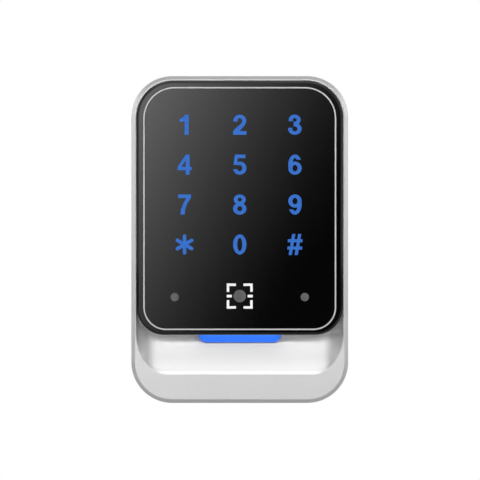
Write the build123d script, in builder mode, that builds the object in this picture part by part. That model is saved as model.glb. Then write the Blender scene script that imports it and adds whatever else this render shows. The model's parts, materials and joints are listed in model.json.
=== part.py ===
from build123d import *
import os
from math import cos, hypot, pi, sin

# Wall-mounted keypad access reader.
# +X right, +Z up, the front faces -Y. The wall is the plane Y = 0, and a depth is
# measured from the wall towards the room. Millimetres.

os.makedirs("parts", exist_ok=True)

# ---------------------------------------------------------------- housing
width = 84.0
height = 126.6
corner_r = 15.85
rear_edge = 0.8
face_depth = 22.4
rim_chamfer = 1.5
rim_chamfer_deep = 3.0
rear_wall = 2.1
inner_wall = 3.3
seal_shoulder = 6.4
ledge_back = 17.4
ledge_front = 19.4
chin_back = 20.3
chin_top = -38.0
swing_chamfer_up = 4.0
swing_chamfer_deep = 2.6

# ---------------------------------------------------------------- panel
panel_half = 39.88
panel_low = -36.84
panel_high = 61.24
panel_r_low = 10.8
panel_r_high = 14.2
panel_back = 19.6
panel_front = 24.0
panel_edge_r = 0.9
pocket_gap = 0.18
column_grow = 0.35
column_wall = 2.0

# ---------------------------------------------------------------- trim ring and glass
ring_half = 36.94
ring_low = -34.64
ring_high = 58.57
ring_r_low = 8.5
ring_r_high = 11.8
ring_width = 0.52
ring_proud = 0.03
glass_seat = 21.7
tape = 0.2
glass_front = 23.95
fit_gap = 0.02
print_depth = 0.3
window_half = 31.0
window_low = -31.0
window_high = 55.5
window_r = 7.0

# ---------------------------------------------------------------- keys
key_pitch_x = 21.3
key_pitch_z = 15.4
key_low = -1.9
scan_z = -21.8
side_window_x = 25.1
side_window_z = -22.2

# ---------------------------------------------------------------- scoop
scoop_floor = 11.2
scoop_r = face_depth - scoop_floor
scoop_flat = panel_half + pocket_gap - scoop_r
scoop_top = -24.0
ramp_top = -36.5
ramp_end = -50.8
ramp_end_depth = 21.85
lip_end = -52.1
skin = 2.2
through = 40.0  # longer than any cut that goes right through

# ---------------------------------------------------------------- light bar
bar_half = 16.15
bar_low = -39.95
bar_r = 3.1
bar_back = 13.85
bar_front = 15.6
bar_gap = 0.1
bar_flange_half = 18.0
bar_flange_low = -35.1
bar_top = -34.0

# ---------------------------------------------------------------- boards
board_back = 7.0
board_thick = 1.6
board_front = board_back + board_thick
main_half = 37.8
main_low = -59.2
main_high = 52.0
tongue_half = 8.0
tongue_top = 59.4
pad_back = 15.4
pad_thick = 1.2
pad_front = pad_back + pad_thick
pad_half = 37.2
pad_low = -33.2
pad_high = 54.0
pad_screw_x = 34.3
pad_screw_z = (-26.0, 34.0)
shroud_half = 29.6
shroud_low = -10.6
shroud_high = 53.0
shroud_front = 21.6
well_half_x = 9.2
well_half_z = 6.3

# ---------------------------------------------------------------- back cover
cover_back = 4.0
cover_front = 5.6
cover_gap = 0.15
cover_screw_x = 34.8
cover_screw_z = 44.0
cover_boss_r = 3.2

# ---------------------------------------------------------------- hooks and tilt
sheet = 1.2
bar_axis_z = 56.5
bar_axis_depth = 4.6
axle_r = 1.2
hook_gap = 0.06
hook_x = 18.0
hook_half = 4.0
bay_half = 6.6
bay_low = 53.6
bay_high = 58.7
bay_floor = 7.3
bay_wall = 1.2

# ---------------------------------------------------------------- wall bracket
bracket_half = 37.0
bracket_low = -57.0
bracket_high = 52.8
bracket_r = 9.0
slot_r = 2.1
slot_length = 8.0
wide_pitch = 60.3
tall_pitch = 83.3
cable_z = 23.5
opening_half = 13.0
opening_high = 11.5
flange_half = 6.0
flange_end = 8.0

# ---------------------------------------------------------------- lock screw
lock_depth = 4.6
lock_r = 1.45
lock_gap = 0.05
lock_top = -55.9
web_low = -61.5
web_high = -60.2
web_half = 6.5
notch_half = 1.8
recess_r = 3.4
washer_r = 2.6
washer_thick = 0.4
head_r = 2.7
head_high = 1.3
socket_r = 0.95
socket_deep = 0.8
flange_bay_half = 7.6
flange_bay_top = -55.4
flange_bay_floor = 8.8
bay_skin = 1.4
bay_gap = 0.1

# ---------------------------------------------------------------- tamper plunger
plunger_x = 14.0
plunger_z = -52.5
plunger_r = 1.6
plunger_gap = 0.06
collar_r = 2.9
collar_back = 9.9
collar_front = 10.7
tail_r = 1.0
tail_end = 15.2
spring_seat = 15.9
spring_r = 1.75
spring_wire = 0.22
spring_turns = 5

# ---------------------------------------------------------------- cable
jacket_r = 2.6
jacket_end = 6.6
jacket_tail = 40.0
core_r = 0.38
core_pitch = 0.8
core_count = 6
core_tail = 12.0
grommet_hole = 4.2
grommet_flange = 5.6


def front(depth):
    """Plane facing the room at a depth from the wall."""
    return Plane.XZ.offset(depth)


def rounded_shape(plane, half, low, high, r_low, r_high, grow):
    """Upright rectangle with its own corner radius at the top and at the bottom."""
    with BuildSketch(plane, mode=Mode.PRIVATE) as shape:
        with Locations((0, (low + high) / 2)):
            Rectangle(2 * (half + grow), high - low + 2 * grow)
        fillet(shape.vertices().group_by(Axis.Y)[-1], r_high + grow)
        fillet(shape.vertices().group_by(Axis.Y)[0], r_low + grow)
    return shape.sketch


def body_shape(depth, grow):
    """Outline of the reader, grown or shrunk."""
    return rounded_shape(front(depth), width / 2, -height / 2, height / 2, corner_r, corner_r, grow)


def panel_shape(depth, grow):
    """Outline of the black panel, grown or shrunk."""
    return rounded_shape(
        front(depth), panel_half, panel_low, panel_high, panel_r_low, panel_r_high, grow
    )


def ring_shape(depth, grow):
    """Centre line of the silver trim ring, grown or shrunk."""
    return rounded_shape(
        front(depth), ring_half, ring_low, ring_high, ring_r_low, ring_r_high, grow
    )


def box_shape(depth, x_low, x_high, z_low, z_high, r=0):
    """Rectangle facing the room between two corners."""
    with BuildSketch(front(depth), mode=Mode.PRIVATE) as shape:
        with Locations(((x_low + x_high) / 2, (z_low + z_high) / 2)):
            Rectangle(x_high - x_low, z_high - z_low)
        if r > 0:
            fillet(shape.vertices(), r)
    return shape.sketch


def disc_shape(depth, places, r):
    """Round discs facing the room, one at each place."""
    with BuildSketch(front(depth), mode=Mode.PRIVATE) as shape:
        with Locations(*places):
            Circle(r)
    return shape.sketch


def solid_box(depth, deep, x_low, x_high, z_low, z_high, r=0, mode=Mode.ADD):
    """Box standing on a depth and reaching towards the room."""
    extrude(box_shape(depth, x_low, x_high, z_low, z_high, r), amount=deep, mode=mode)


def solid_disc(depth, deep, places, r, mode=Mode.ADD):
    """Cylinders standing on a depth and reaching towards the room."""
    extrude(disc_shape(depth, places, r), amount=deep, mode=mode)


def trough(grow):
    """Scooped recess: a flat floor with rounded sides, level at first, then a ramp and a lip."""
    floor = scoop_floor - grow
    radius = scoop_r + grow
    side = scoop_flat + radius

    def section(z, depth):
        rise = depth - scoop_floor
        with BuildSketch(Plane.XY.offset(z), mode=Mode.PRIVATE) as shape:
            with BuildLine():
                Line((-scoop_flat, -floor - rise), (scoop_flat, -floor - rise))
                CenterArc((scoop_flat, -floor - rise - radius), radius, 0, 90)
                Line((side, -floor - rise - radius), (side, -through))
                Line((side, -through), (-side, -through))
                Line((-side, -through), (-side, -floor - rise - radius))
                CenterArc((-scoop_flat, -floor - rise - radius), radius, 90, 90)
            make_face()
        return shape.sketch

    with BuildPart(mode=Mode.PRIVATE) as tool:
        extrude(section(scoop_top, scoop_floor), amount=scoop_top - ramp_top, dir=(0, 0, -1))
        ramp_rise = ramp_end_depth - scoop_floor
        ramp_run = ramp_top - ramp_end
        ramp = hypot(ramp_rise, ramp_run)
        extrude(
            section(ramp_top, scoop_floor),
            amount=ramp,
            dir=(0, -ramp_rise / ramp, -ramp_run / ramp),
        )
        lip_rise = 2 * (face_depth - ramp_end_depth)
        lip_run = 2 * (ramp_end - lip_end)
        lip = hypot(lip_rise, lip_run)
        extrude(
            section(ramp_end, ramp_end_depth),
            amount=lip,
            dir=(0, -lip_rise / lip, -lip_run / lip),
        )
    return tool.part


# ---------------------------------------------------------------- key legends
legend_high = 3.875
legend_wide = 2.575
stroke = 1.6


def ring(x, z, rx, rz, side_stroke, end_stroke, mode=Mode.ADD):
    """Oval ring with its own stroke at the sides and at the top and bottom."""
    with Locations((x, z)):
        Ellipse(rx, rz, mode=mode)
        Ellipse(rx - side_stroke, rz - end_stroke, mode=Mode.SUBTRACT)


def block(x_low, x_high, z_low, z_high, mode=Mode.ADD):
    """Plain rectangle between two corners."""
    with Locations(((x_low + x_high) / 2, (z_low + z_high) / 2)):
        Rectangle(x_high - x_low, z_high - z_low, mode=mode)


def patch(*points, mode=Mode.ADD):
    """Closed outline with straight sides, added or cut away."""
    with BuildLine() as border:
        Polyline(*points, close=True)
    make_face(border.edges(), mode=mode)


def numeral_one():
    block(0.0, stroke, -legend_high, legend_high)
    patch((0.1, legend_high), (0.1, 1.3), (-1.9, 1.05), (-1.9, 2.25), (-0.6, 2.75), (0.05, 3.5))


def numeral_two():
    ring(0, 1.45, 2.5, 2.425, 1.6, 1.35)
    block(-3, 0.9, -1.5, 1.2, mode=Mode.SUBTRACT)
    block(-3, 3, -1.5, 0.9, mode=Mode.SUBTRACT)
    patch((2.44, 0.92), (1.7, -0.5), (-0.1, -2.5), (-2.57, -2.5), (-1.5, -1.3), (0.3, 0.2), (0.84, 0.92))
    block(-2.575, 2.575, -legend_high, -2.45)


def numeral_three():
    ring(-0.1, 1.85, 2.3, 2.025, 1.5, 1.3)
    block(-3, -0.5, -0.3, 1.35, mode=Mode.SUBTRACT)
    with BuildSketch(mode=Mode.PRIVATE) as lower:
        ring(-0.05, -1.6, 2.6, 2.275, 1.6, 1.3)
        block(-3, -0.5, -1.2, 0.9, mode=Mode.SUBTRACT)
    add(lower.sketch)


def numeral_four():
    patch((1.95, legend_high), (1.95, -legend_high), (0.45, -legend_high), (0.45, legend_high))
    patch((0.5, legend_high), (-2.65, -0.85), (-2.65, -2.15), (2.75, -2.15), (2.75, -0.85), (0.5, -0.85))
    patch((0.45, 1.75), (-1.2, -0.85), (0.45, -0.85), mode=Mode.SUBTRACT)


def numeral_five():
    ring(0, -1.35, 2.575, 2.525, 1.6, 1.3)
    block(-3, -0.6, -1.75, 0.4, mode=Mode.SUBTRACT)
    patch((-1.85, legend_high), (2.15, legend_high), (2.15, 2.5), (-0.7, 2.5), (-1.0, 0.75),
          (-0.4, -0.1), (-2.4, -0.1))


def numeral_six():
    ring(0, 0, legend_wide, legend_high, 1.6, 1.3)
    block(0.3, 3, -4, 1.9, mode=Mode.SUBTRACT)
    block(-3, 3, -4, -1.3, mode=Mode.SUBTRACT)
    with BuildSketch(mode=Mode.PRIVATE) as bowl:
        ring(0, -1.35, legend_wide, 2.525, 1.6, 1.25)
    add(bowl.sketch)


def numeral_seven():
    block(-2.5, 2.5, 2.5, legend_high)
    patch((2.5, 2.6), (0.9, 0.2), (0.2, -2.0), (0.0, -legend_high), (-1.6, -legend_high),
          (-1.3, -1.7), (-0.5, 0.4), (0.85, 2.6))


def numeral_eight():
    ring(0, -1.6, legend_wide, 2.275, 1.6, 1.3)
    with BuildSketch(mode=Mode.PRIVATE) as upper:
        ring(0, 1.9, 2.3, 1.975, 1.5, 1.25)
    add(upper.sketch)


def numeral_nought():
    ring(0, 0, legend_wide, legend_high, 1.6, 1.3)


def star():
    for turn in (90, 30, 150):
        SlotOverall(2 * legend_high, 1.35, rotation=turn)


def hash_mark():
    lean = 0.7
    for x in (-1.15, 1.15):
        patch((x - lean - 0.6, -4.05), (x - lean + 0.6, -4.05), (x + lean + 0.6, 4.05),
              (x + lean - 0.6, 4.05))
    block(-2.75, 2.9, 0.85, 2.0)
    block(-2.9, 2.75, -1.95, -0.8)


def numeral_nine():
    with BuildSketch(mode=Mode.PRIVATE) as six:
        numeral_six()
    add(six.sketch, rotation=180)


key_rows = (
    (numeral_one, numeral_two, numeral_three),
    (numeral_four, numeral_five, numeral_six),
    (numeral_seven, numeral_eight, numeral_nine),
    (star, numeral_nought, hash_mark),
)


def legend_shapes(depth):
    """All twelve key legends on a plane facing the room."""
    with BuildSketch(front(depth), mode=Mode.PRIVATE) as shape:
        for row, marks in enumerate(key_rows):
            for column, mark in enumerate(marks):
                x = (column - 1) * key_pitch_x
                z = key_low + (3 - row) * key_pitch_z
                with BuildSketch(mode=Mode.PRIVATE) as single:
                    mark()
                with Locations((x, z)):
                    add(single.sketch)
    return shape.sketch


mark_half_x = 5.0
mark_half_z = 4.85
mark_stroke = 0.95
mark_arm_x = 3.55
mark_arm_z = 3.25
dash_x = 4.03
dash_long = 1.93
dash_high = 1.0
scan_window_r = 2.4
side_window_r = 1.6


def mark_shapes(depth):
    """Four corner marks and two dashes that show where to hold a code."""
    with BuildSketch(front(depth), mode=Mode.PRIVATE) as shape:
        for side in (-1, 1):
            with Locations((side * dash_x, scan_z)):
                Rectangle(dash_long, dash_high)
            for end in (-1, 1):
                with Locations((side * (mark_half_x - mark_arm_x / 2),
                                scan_z + end * (mark_half_z - mark_stroke / 2))):
                    Rectangle(mark_arm_x, mark_stroke)
                with Locations((side * (mark_half_x - mark_stroke / 2),
                                scan_z + end * (mark_half_z - mark_arm_z / 2))):
                    Rectangle(mark_stroke, mark_arm_z)
    return shape.sketch


key_places = []
for key_row in range(4):
    for key_column in range(3):
        key_places.append(
            ((key_column - 1) * key_pitch_x, key_low + key_row * key_pitch_z)
        )
scan_place = [(0.0, scan_z)]
plunger_place = [(plunger_x, plunger_z)]
side_window_places = [(-side_window_x, side_window_z), (side_window_x, side_window_z)]
cover_screw_places = [(x * cover_screw_x, z * cover_screw_z) for x in (-1, 1) for z in (-1, 1)]
pad_screw_places = [(x * pad_screw_x, z) for x in (-1, 1) for z in pad_screw_z]
main_screw_places = [(0.0, 57.0), (-24.0, -54.0), (24.0, -54.0)]
finished = []


def finish(part, name):
    """Name a finished piece and write it to its own file."""
    part.label = name
    export_step(part, "parts/" + name + ".step")
    finished.append(name)


# ================================================================ front housing
screw_pilot = 1.0
cover_pilot_deep = 9.0
main_pilot_deep = 6.0
pad_pilot_deep = 2.2
post_r = 2.6
pad_boss_r = 2.2
step_clearance = 0.3
bay_clear = 0.2

with BuildPart() as cavity:
    extrude(body_shape(seal_shoulder, -inner_wall), amount=ledge_back - seal_shoulder)
    with BuildPart(mode=Mode.PRIVATE) as chin_room:
        extrude(body_shape(seal_shoulder, -inner_wall), amount=chin_back - seal_shoulder)
        solid_box(seal_shoulder, through, -width, width, chin_top, height, mode=Mode.SUBTRACT)
    add(chin_room.part)
    add(trough(skin), mode=Mode.SUBTRACT)
    extrude(panel_shape(seal_shoulder, column_grow - column_wall), amount=ledge_back - seal_shoulder)

with BuildPart() as scoop:
    add(trough(0))
    extrude(panel_shape(0, column_grow), amount=ledge_front, mode=Mode.SUBTRACT)

with BuildPart() as front_housing:
    extrude(body_shape(rear_edge, 0), amount=face_depth - rear_edge)
    face_side = front_housing.faces().sort_by(Axis.Y)[0]
    chamfer(face_side.edges(), rim_chamfer, rim_chamfer_deep, reference=face_side)
    extrude(body_shape(rear_edge, -rear_wall), amount=seal_shoulder - rear_edge, mode=Mode.SUBTRACT)
    add(cavity.part, mode=Mode.SUBTRACT)
    # bosses for the back cover, posts for the main board, bosses for the keypad board
    solid_disc(cover_front, ledge_back - cover_front, cover_screw_places, cover_boss_r)
    solid_disc(board_front, chin_back - board_front, main_screw_places, post_r)
    solid_disc(pad_front, ledge_front - pad_front, pad_screw_places, pad_boss_r)
    # seat of the tamper spring
    solid_disc(spring_seat, chin_back - spring_seat, plunger_place, collar_r)
    # web that the lock screw's washer bears on
    solid_box(rear_edge, flange_bay_floor - rear_edge, -web_half, web_half, web_low, web_high)
    add(scoop.part, mode=Mode.SUBTRACT)
    # pocket for the panel, and the window behind it
    extrude(panel_shape(ledge_front, pocket_gap), amount=through, mode=Mode.SUBTRACT)
    solid_box(ledge_back - step_clearance, ledge_front - ledge_back + 2 * step_clearance,
              -window_half, window_half, window_low, window_high, r=window_r, mode=Mode.SUBTRACT)
    # notch for the light bar, and the slot for its flange
    solid_box(bar_back - bar_gap, panel_back - bar_back, -bar_half - bar_gap, bar_half + bar_gap,
              panel_low - 2 * column_grow, bar_flange_low, mode=Mode.SUBTRACT)
    solid_box(bar_back - bar_gap, bar_front - bar_back + 2 * bar_gap, -bar_flange_half - bar_gap,
              bar_flange_half + bar_gap, bar_flange_low - bar_gap, bar_top + bar_gap, mode=Mode.SUBTRACT)
    # screw pilots
    solid_disc(cover_front, cover_pilot_deep, cover_screw_places, screw_pilot, mode=Mode.SUBTRACT)
    solid_disc(board_front, main_pilot_deep, main_screw_places, screw_pilot, mode=Mode.SUBTRACT)
    solid_disc(pad_front, pad_pilot_deep, pad_screw_places, screw_pilot, mode=Mode.SUBTRACT)
    # lock screw notch and head recess, both open to the rear
    for slot_half, slot_top in ((recess_r, web_low), (notch_half, web_high + 1)):
        with BuildSketch(Plane.XY.offset(-height / 2)):
            with Locations((0, -lock_depth)):
                Circle(slot_half)
            with Locations((0, -lock_depth / 2)):
                Rectangle(2 * slot_half, lock_depth)
        extrude(amount=height / 2 + slot_top, mode=Mode.SUBTRACT)
    # room for the bracket's bottom flange in front of the seal shoulder
    bay_half_outside = flange_bay_half + bay_skin + bay_clear
    solid_box(rear_edge, flange_bay_floor + bay_skin + bay_clear - rear_edge, -bay_half_outside,
              bay_half_outside, web_high, flange_bay_top, mode=Mode.SUBTRACT)
    # upper rear edge cut back so that the top clears the wall when the reader swings
    with BuildSketch(Plane.YZ.offset(-width / 2)):
        with BuildLine():
            Polyline(
                (0, height / 2 - swing_chamfer_up),
                (-rear_edge, height / 2 - swing_chamfer_up),
                (-rear_edge - swing_chamfer_deep, height / 2),
                (-rear_edge - swing_chamfer_deep, height / 2 + 1),
                (0, height / 2 + 1),
                close=True,
            )
        make_face()
    extrude(amount=width, mode=Mode.SUBTRACT)
finish(front_housing.part, "front_housing")

# ================================================================ black panel
tape_inset = 1.2
tape_margin = 0.5

with BuildPart() as panel_bezel:
    extrude(panel_shape(panel_back, 0), amount=panel_front - panel_back)
    fillet(panel_bezel.faces().sort_by(Axis.Y)[0].edges(), panel_edge_r)
    extrude(ring_shape(glass_seat, ring_width / 2 + fit_gap), amount=through, mode=Mode.SUBTRACT)
    solid_box(panel_back, through, -window_half, window_half, window_low, window_high, r=window_r,
              mode=Mode.SUBTRACT)
finish(panel_bezel.part, "panel_bezel")

with BuildPart() as panel_tape:
    extrude(panel_shape(ledge_front, -tape_inset), amount=tape)
    solid_box(ledge_front, tape, -window_half - tape_margin, window_half + tape_margin,
              window_low - tape_margin, window_high + tape_margin, r=window_r, mode=Mode.SUBTRACT)
finish(panel_tape.part, "panel_tape")

with BuildPart() as trim_ring:
    extrude(ring_shape(glass_seat, ring_width / 2), amount=panel_front + ring_proud - glass_seat)
    extrude(ring_shape(glass_seat, -ring_width / 2), amount=through, mode=Mode.SUBTRACT)
finish(trim_ring.part, "trim_ring")

glass_tape_inset = 0.4
glass_tape_low = window_low - 0.3
with BuildPart() as glass_tape:
    extrude(ring_shape(glass_seat, -ring_width / 2 - glass_tape_inset), amount=tape)
    solid_box(glass_seat, tape, -window_half - tape_margin, window_half + tape_margin,
              glass_tape_low, window_high + tape_margin, r=window_r, mode=Mode.SUBTRACT)
finish(glass_tape.part, "glass_tape")

glass_back = glass_seat + tape
glass_chamfer = 0.12
print_back = glass_front - print_depth
with BuildPart() as cover_glass:
    extrude(ring_shape(glass_back, -ring_width / 2 - fit_gap), amount=glass_front - glass_back)
    chamfer(cover_glass.faces().sort_by(Axis.Y)[0].edges(), glass_chamfer)
    extrude(legend_shapes(print_back), amount=print_depth, mode=Mode.SUBTRACT)
    extrude(mark_shapes(print_back), amount=print_depth, mode=Mode.SUBTRACT)
    solid_disc(print_back, print_depth, scan_place, scan_window_r, mode=Mode.SUBTRACT)
    solid_disc(print_back, print_depth, side_window_places, side_window_r, mode=Mode.SUBTRACT)
finish(cover_glass.part, "cover_glass")

with BuildPart() as key_legends:
    extrude(legend_shapes(print_back), amount=print_depth)
finish(key_legends.part, "key_legends")

with BuildPart() as scan_frame_mark:
    extrude(mark_shapes(print_back), amount=print_depth)
finish(scan_frame_mark.part, "scan_frame_mark")

with BuildPart() as scan_window:
    solid_disc(print_back, print_depth, scan_place, scan_window_r)
finish(scan_window.part, "scan_window")

with BuildPart() as side_windows:
    solid_disc(print_back, print_depth, side_window_places, side_window_r)
finish(side_windows.part, "side_windows")

# ================================================================ light bar
bar_edge = 0.3
with BuildPart() as light_bar:
    with BuildSketch(front(bar_back)) as bar_face:
        block(-bar_half, bar_half, bar_low, bar_flange_low)
        fillet(bar_face.vertices().group_by(Axis.Y)[0], bar_r)
    extrude(amount=bar_front - bar_back)
    fillet(light_bar.faces().sort_by(Axis.Y)[0].edges(), bar_edge)
    solid_box(bar_back, bar_front - bar_back, -bar_flange_half, bar_flange_half, bar_flange_low, bar_top)
finish(light_bar.part, "light_bar")

# lamps on the rear of the keypad board, shining down into the bar's flange
led_high = 0.7
bar_led_x = (-12.0, -4.0, 4.0, 12.0)
bar_led_z = -32.4
bar_led_half_x = 1.5
bar_led_half_z = 0.6
with BuildPart() as bar_leds:
    for led_x in bar_led_x:
        solid_box(pad_back - led_high, led_high, led_x - bar_led_half_x, led_x + bar_led_half_x,
                  bar_led_z - bar_led_half_z, bar_led_z + bar_led_half_z)
finish(bar_leds.part, "bar_leds")

# ================================================================ keypad stack
film_inset = 0.4
film_r = 2.0
with BuildPart() as diffuser_film:
    solid_box(glass_seat, tape, -shroud_half + film_inset, shroud_half - film_inset,
              shroud_low + film_inset, shroud_high - film_inset, r=film_r)
finish(diffuser_film.part, "diffuser_film")

shroud_r = 3.0
well_r = 2.0
with BuildPart() as light_shroud:
    solid_box(pad_front, shroud_front - pad_front, -shroud_half, shroud_half, shroud_low, shroud_high,
              r=shroud_r)
    for well_x, well_z in key_places:
        solid_box(pad_front, through, well_x - well_half_x, well_x + well_half_x, well_z - well_half_z,
                  well_z + well_half_z, r=well_r, mode=Mode.SUBTRACT)
finish(light_shroud.part, "light_shroud")

touch_spring_r = 3.6
touch_wire = 0.25
touch_turns = 4
touch_low = pad_front + touch_wire
touch_high = shroud_front - touch_wire
with BuildPart() as touch_springs:
    for key_x, key_z in key_places:
        with BuildLine(mode=Mode.PRIVATE) as touch_path:
            Helix(
                pitch=(touch_high - touch_low) / touch_turns,
                height=touch_high - touch_low,
                radius=touch_spring_r,
                center=(key_x, -touch_low, key_z),
                direction=(0, -1, 0),
            )
        with BuildSketch(Plane(origin=touch_path.edges()[0] @ 0, z_dir=touch_path.edges()[0] % 0)):
            Circle(touch_wire)
        sweep(path=touch_path.line)
finish(touch_springs.part, "touch_springs")

led_half = 0.8
with BuildPart() as key_leds:
    for key_x, key_z in key_places:
        solid_box(pad_front, led_high, key_x - led_half, key_x + led_half, key_z - led_half,
                  key_z + led_half)
finish(key_leds.part, "key_leds")

fill_led_half = 1.75
fill_led_high = 1.9
fill_dome_r = 1.3
fill_dome_high = 0.6
with BuildPart() as fill_leds:
    for led_x, led_z in side_window_places:
        solid_box(pad_front, fill_led_high, led_x - fill_led_half, led_x + fill_led_half,
                  led_z - fill_led_half, led_z + fill_led_half)
        solid_disc(pad_front + fill_led_high, fill_dome_high, [(led_x, led_z)], fill_dome_r)
finish(fill_leds.part, "fill_leds")

screw_clear = 1.25
pad_r = 9.0
pad_boss_clear = 0.4
with BuildPart() as keypad_board:
    solid_box(pad_back, pad_thick, -pad_half, pad_half, pad_low, pad_high, r=pad_r)
    solid_disc(pad_back, pad_thick, pad_screw_places, screw_clear, mode=Mode.SUBTRACT)
    solid_disc(pad_back, pad_thick, cover_screw_places, cover_boss_r + pad_boss_clear, mode=Mode.SUBTRACT)
finish(keypad_board.part, "keypad_board")

# ================================================================ scan camera
camera_body_front = 19.4
camera_half = 5.5
camera_corner = 0.8
camera_barrel_r = 3.4
camera_barrel_front = 21.0
lens_seat = camera_barrel_front - 1.2
lens_bore_r = 2.5
lens_r = 2.45
lens_thick = 0.8
lens_round = 0.5
with BuildPart() as scan_camera:
    solid_box(pad_front, camera_body_front - pad_front, -camera_half, camera_half,
              scan_z - camera_half, scan_z + camera_half, r=camera_corner)
    solid_disc(camera_body_front, camera_barrel_front - camera_body_front, scan_place, camera_barrel_r)
    solid_disc(lens_seat, through, scan_place, lens_bore_r, mode=Mode.SUBTRACT)
finish(scan_camera.part, "scan_camera")

with BuildPart() as camera_lens:
    solid_disc(lens_seat, lens_thick, scan_place, lens_r)
    fillet(camera_lens.faces().sort_by(Axis.Y)[0].edges(), lens_round)
finish(camera_lens.part, "camera_lens")

# ================================================================ card antenna
coil_turns = 5
coil_wire = 0.24
coil_pitch = 0.6
coil_wide = 56.0
coil_tall = 68.0
coil_r = 5.5
coil_z = 15.0
carrier_back = 14.2
carrier_thick = 0.7
carrier_wide = 58.0
carrier_tall = 70.0
carrier_r = 6.0
carrier_band = 6.0
carrier_window_r = 4.0
with BuildPart() as coil_carrier:
    with BuildSketch(front(carrier_back)):
        with Locations((0, coil_z)):
            RectangleRounded(carrier_wide, carrier_tall, carrier_r)
            RectangleRounded(carrier_wide - 2 * carrier_band, carrier_tall - 2 * carrier_band,
                             carrier_window_r, mode=Mode.SUBTRACT)
    extrude(amount=carrier_thick)
finish(coil_carrier.part, "coil_carrier")

with BuildPart() as antenna_coil:
    for turn in range(coil_turns):
        inset = turn * coil_pitch
        turn_wide = coil_wide - 2 * inset
        turn_tall = coil_tall - 2 * inset
        turn_r = coil_r - inset
        with BuildSketch(front(carrier_back - 2 * coil_wire)):
            with Locations((0, coil_z)):
                RectangleRounded(turn_wide, turn_tall, turn_r)
                RectangleRounded(turn_wide - 2 * coil_wire, turn_tall - 2 * coil_wire,
                                 turn_r - coil_wire, mode=Mode.SUBTRACT)
        extrude(amount=2 * coil_wire)
finish(antenna_coil.part, "antenna_coil")

# ================================================================ main board and its parts
board_r = 12.2
tongue_r = 1.0
tongue_root = 3.0
board_boss_clear = 0.5
flange_cut_half = 9.6
flange_cut_top = -53.0
wire_window_half = 6.5
wire_window_low = cable_z - 5.0
wire_window_high = cable_z + 6.5
wire_window_r = 2.0
plunger_clear = 0.6
with BuildPart() as main_board:
    solid_box(board_back, board_thick, -main_half, main_half, main_low, main_high, r=board_r)
    solid_box(board_back, board_thick, -tongue_half, tongue_half, main_high - tongue_root, tongue_top,
              r=tongue_r)
    solid_disc(board_back, board_thick, main_screw_places, screw_clear, mode=Mode.SUBTRACT)
    solid_disc(board_back, board_thick, cover_screw_places, cover_boss_r + board_boss_clear,
               mode=Mode.SUBTRACT)
    solid_box(board_back, board_thick, -flange_cut_half, flange_cut_half, main_low - 1, flange_cut_top,
              mode=Mode.SUBTRACT)
    solid_box(board_back, board_thick, -wire_window_half, wire_window_half, wire_window_low,
              wire_window_high, r=wire_window_r, mode=Mode.SUBTRACT)
    solid_disc(board_back, board_thick, plunger_place, plunger_r + plunger_clear, mode=Mode.SUBTRACT)
finish(main_board.part, "main_board")

# each chip: x, z, half width, half height, thickness
controller = (-12.0, 2.0, 5.0, 5.0, 1.4)
card_reader = (13.0, -8.0, 3.5, 3.5, 1.0)
line_driver = (-24.0, -8.0, 2.0, 2.6, 1.5)
relay_driver = (26.0, 2.0, 2.0, 2.6, 1.5)
regulator = (-14.0, 38.0, 3.0, 2.2, 1.6)
with BuildPart() as control_chips:
    for chip_x, chip_z, half_x, half_z, chip_high in (
        controller, card_reader, line_driver, relay_driver, regulator
    ):
        solid_box(board_front, chip_high, chip_x - half_x, chip_x + half_x, chip_z - half_z,
                  chip_z + half_z)
finish(control_chips.part, "control_chips")

crystal_half_x = 5.5
crystal_half_z = 2.0
crystal_r = 1.9
crystal_z = -13.5
crystal_high = 3.2
with BuildPart() as crystal_can:
    solid_box(board_front, crystal_high, -crystal_half_x, crystal_half_x, crystal_z - crystal_half_z,
              crystal_z + crystal_half_z, r=crystal_r)
finish(crystal_can.part, "crystal_can")

tall_part = 4.9
can_r = 3.1
can_round = 0.5
can_x = 25.0
can_z = (14.0, 22.0, 30.0)
with BuildPart() as capacitors:
    solid_disc(board_front, tall_part, [(can_x, z) for z in can_z], can_r)
    fillet(capacitors.faces().group_by(Axis.Y)[0].edges(), can_round)
finish(capacitors.part, "capacitors")

sounder_place = [(-23.0, 20.0)]
sounder_r = 6.0
sounder_round = 0.6
sound_hole_r = 1.1
sound_hole_deep = 1.7
with BuildPart() as sounder:
    solid_disc(board_front, tall_part, sounder_place, sounder_r)
    fillet(sounder.faces().sort_by(Axis.Y)[0].edges(), sounder_round)
    solid_disc(board_front + tall_part - sound_hole_deep, sound_hole_deep, sounder_place, sound_hole_r,
               mode=Mode.SUBTRACT)
finish(sounder.part, "sounder")

link_x_low = 10.0
link_x_high = 22.0
link_z_low = -29.0
link_z_high = -25.0
with BuildPart() as board_header:
    solid_box(board_front, pad_back - board_front, link_x_low, link_x_high, link_z_low, link_z_high)
finish(board_header.part, "board_header")

switch_near = plunger_x + 3.3
switch_far = plunger_x + 6.6
switch_half = 3.0
switch_high = 3.4
arm_start = plunger_x + 2.2
arm_end = switch_near + 0.1
arm_half = 0.6
arm_thick = 0.4
arm_gap = 0.1
with BuildPart() as tamper_switch:
    solid_box(board_front, switch_high, switch_near, switch_far, plunger_z - switch_half,
              plunger_z + switch_half)
    solid_box(collar_front + arm_gap, arm_thick, arm_start, arm_end, plunger_z - arm_half,
              plunger_z + arm_half)
finish(tamper_switch.part, "tamper_switch")

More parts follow.
